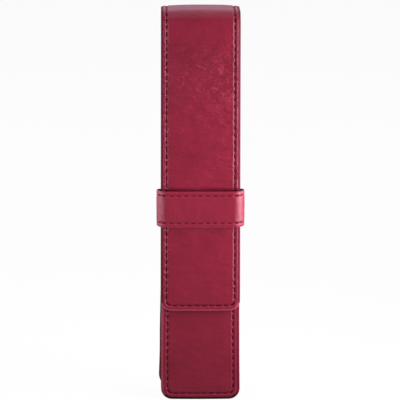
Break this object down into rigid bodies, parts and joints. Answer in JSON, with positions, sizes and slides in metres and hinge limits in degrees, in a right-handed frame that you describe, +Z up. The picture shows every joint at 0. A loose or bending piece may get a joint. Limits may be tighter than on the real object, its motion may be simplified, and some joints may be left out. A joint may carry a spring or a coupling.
{
  "type": "single pen sleeve",
  "caption": "Slim upright leather sleeve for one pen, with a long flap that folds over the mouth and tucks under a sewn-in front strap.",
  "frame": {"origin": "centre of the base, at the middle of the overall width and depth", "axes": "+Z up the sleeve to its fold, -Y out of the front, +X to the right seen from the front"},
  "size_m": [0.0354, 0.0228, 0.16],
  "materials": {
    "leather": "smooth, satin",
    "strap_leather": "smooth, satin",
    "gusset_leather": "smooth, satin",
    "lining": "fine suede, matte",
    "board": "pressed fibre, matte",
    "thread": "twisted, satin"
  },
  "bodies": {
    "sleeve_body": {"cover_back": "leather", "cover_lining": "lining", "back_board": "board", "front_panel": "leather", "front_board": "board", "front_lining": "lining", "gusset": "gusset_leather", "gusset_lining": "lining", "strap": "strap_leather", "strap_lining": "lining", "front_seam_thread": "thread", "mouth_thread": "thread", "back_seam_thread": "thread", "fold_thread": "thread", "strap_lower_thread": "thread", "strap_upper_thread": "thread"},
    "flap_upper_body": {"flap_upper": "leather", "flap_upper_lining": "lining", "flap_upper_thread": "thread"},
    "flap_middle_body": {"flap_middle": "leather", "flap_middle_lining": "lining", "flap_middle_thread": "thread"},
    "flap_tip_body": {"flap_tip": "leather", "flap_tip_lining": "lining", "flap_tip_thread": "thread"}
  },
  "joints": [
    {"name": "flap_bow", "type": "hinge", "parent": "sleeve_body", "child": "flap_upper_body", "pos_m": [0, -0.00965, 0.1565], "axis": [-1, 0, 0], "range_deg": [0, 80]},
    {"name": "flap_knee", "type": "hinge", "parent": "flap_upper_body", "child": "flap_middle_body", "pos_m": [0, -0.00765, 0.12255], "axis": [-1, 0, 0], "range_deg": [-160, 0]},
    {"name": "flap_tip_draw", "type": "hinge", "parent": "flap_middle_body", "child": "flap_tip_body", "pos_m": [0, -0.00965, 0.0886], "axis": [-1, 0, 0], "range_deg": [0, 80]}
  ],
  "couplings": [
    {"joint": "flap_knee", "follows": "flap_bow", "ratio": -2},
    {"joint": "flap_tip_draw", "follows": "flap_bow", "ratio": 1}
  ]
}
